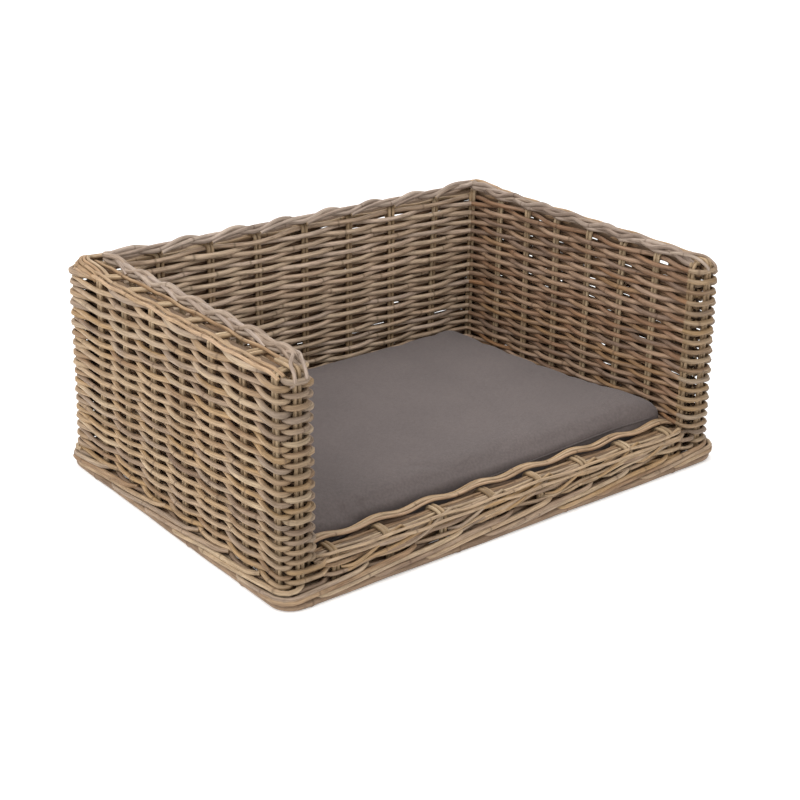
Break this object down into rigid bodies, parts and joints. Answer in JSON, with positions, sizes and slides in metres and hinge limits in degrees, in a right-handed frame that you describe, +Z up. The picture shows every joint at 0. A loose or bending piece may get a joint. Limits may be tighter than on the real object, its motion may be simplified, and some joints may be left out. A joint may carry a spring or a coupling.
{
  "type": "wicker pet bed",
  "caption": "Rectangular double-walled woven cane pet bed with high arms and back, a low front rail, and a loose grey box cushion that lifts out.",
  "frame": {"origin": "centre of the footprint, on the floor", "axes": "+X to the right of someone who faces the low front, +Y from the low front to the back, +Z up"},
  "size_m": [0.9, 0.65, 0.37],
  "materials": {
    "weaver_cane": "dry, weathered grey-brown cane skin",
    "stake_cane": "dry, pale tan cane",
    "border_cane": "dry, golden and grey cane",
    "foot_pole": "dry, dark grey-brown cane pole",
    "frame_pole": "plain peeled cane",
    "cushion_cloth": "matt, tight plain weave",
    "foam": "open foam and fibre filling",
    "zip_tape": "woven tape with moulded teeth",
    "zip_metal": "satin"
  },
  "bodies": {
    "basket": {"foot_rail": "foot_pole", "base_cross_poles": "frame_pole", "base_weave": "weaver_cane", "wale_front": "weaver_cane", "wale_back": "weaver_cane", "wale_left": "weaver_cane", "wale_right": "weaver_cane", "back_stakes": "stake_cane", "left_arm_stakes": "stake_cane", "right_arm_stakes": "stake_cane", "front_rail_stakes": "stake_cane", "left_corner_stakes": "stake_cane", "right_corner_stakes": "stake_cane", "left_nose_stakes": "stake_cane", "right_nose_stakes": "stake_cane", "back_outer_skin": "weaver_cane", "back_inner_skin": "weaver_cane", "front_rail_outer_skin": "weaver_cane", "front_rail_inner_skin": "weaver_cane", "left_arm_outer_skin": "weaver_cane", "left_arm_inner_skin": "weaver_cane", "left_arm_nose_skin": "weaver_cane", "right_arm_outer_skin": "weaver_cane", "right_arm_inner_skin": "weaver_cane", "right_arm_nose_skin": "weaver_cane", "back_top_rail": "frame_pole", "front_top_rail": "frame_pole", "back_outer_border": "border_cane", "back_inner_border": "border_cane", "front_rail_outer_border": "border_cane", "front_rail_inner_border": "border_cane", "left_arm_top_rail": "frame_pole", "left_arm_outer_border": "border_cane", "left_arm_inner_border": "border_cane", "back_left_post": "frame_pole", "front_left_post": "frame_pole", "right_arm_top_rail": "frame_pole", "right_arm_outer_border": "border_cane", "right_arm_inner_border": "border_cane", "back_right_post": "frame_pole", "front_right_post": "frame_pole"},
    "cushion": {"cushion_filling": "foam", "cushion_bottom_panel": "cushion_cloth", "cushion_top_panel": "cushion_cloth", "cushion_side_band": "cushion_cloth", "cushion_zip_tape": "zip_tape"},
    "zip_slider": {"cushion_zip_slider": "zip_metal"}
  },
  "joints": [
    {"name": "cushion_lift", "type": "slide", "parent": "basket", "child": "cushion", "axis": [0, 0, 1], "range_m": [0, 0.36]},
    {"name": "zip_run", "type": "slide", "parent": "cushion", "child": "zip_slider", "axis": [1, 0, 0], "range_m": [0, 0.45]}
  ]
}
